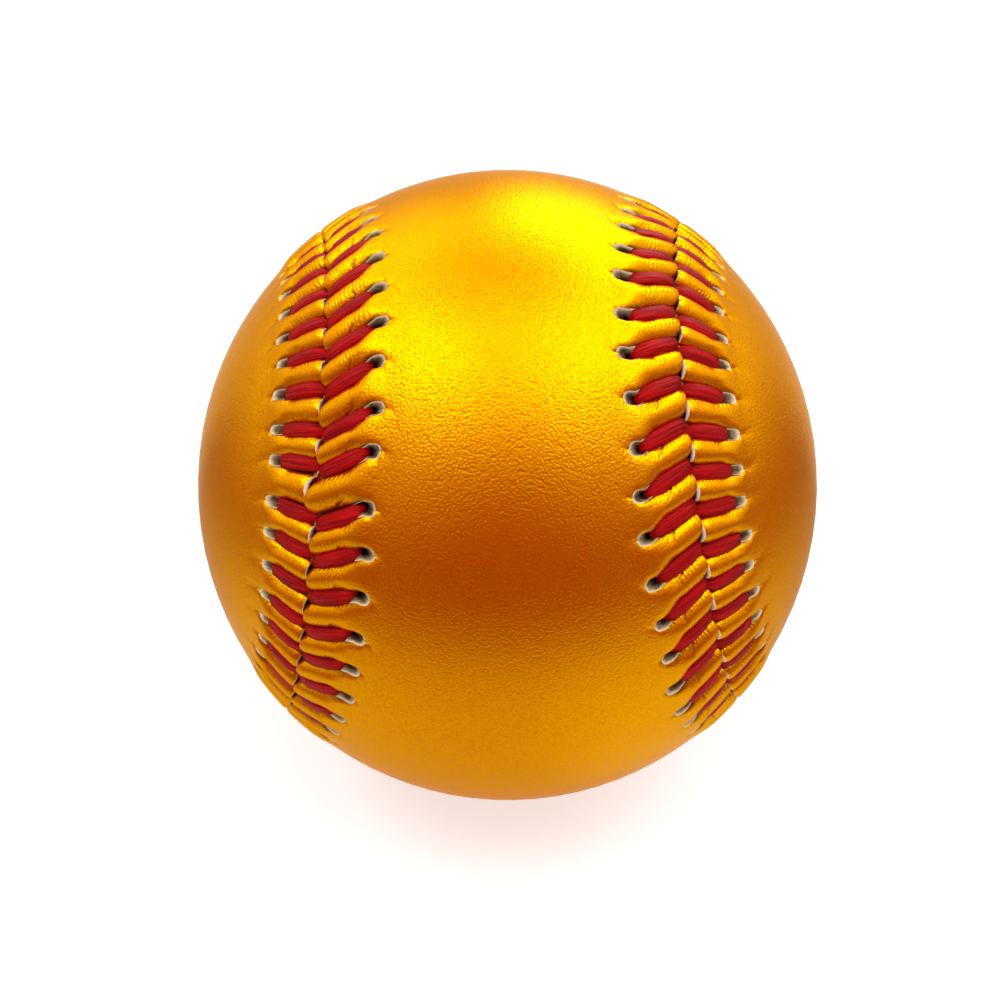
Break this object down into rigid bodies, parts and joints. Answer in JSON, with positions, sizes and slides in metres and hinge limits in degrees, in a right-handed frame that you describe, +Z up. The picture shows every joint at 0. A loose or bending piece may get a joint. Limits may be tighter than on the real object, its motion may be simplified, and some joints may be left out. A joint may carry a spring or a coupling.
{
  "type": "baseball",
  "caption": "Stitched baseball with gold metallic leather panels sewn along one wavy seam in red thread, over a cork, rubber and wool centre.",
  "frame": {"origin": "centre of the ball", "axes": "+Z up and -Y towards the viewer as the ball is shown; the waist of the front panel leans up from -Y"},
  "size_m": [0.0722, 0.0724, 0.0733],
  "materials": {
    "cork": "ground cork and rubber, matte",
    "black_rubber": "moulded, matte",
    "red_rubber": "moulded, matte",
    "grey_wool": "wound wool yarn",
    "white_wool": "wound wool yarn",
    "white_cotton": "wound cotton and polyester yarn",
    "gold_leather": "metallic gold, pebbled grain",
    "red_thread": "waxed cotton"
  },
  "bodies": {
    "root": {"cork_core": "cork", "inner_shell_upper": "black_rubber", "inner_shell_lower": "black_rubber", "shell_gasket": "red_rubber", "outer_shell_upper": "red_rubber", "outer_shell_lower": "red_rubber", "first_winding": "grey_wool", "second_winding": "white_wool", "third_winding": "grey_wool", "finish_winding": "white_cotton", "cover_panel_front": "gold_leather", "cover_panel_rear": "gold_leather", "stitch_thread_one": "red_thread", "stitch_thread_two": "red_thread"}
  },
  "joints": []
}
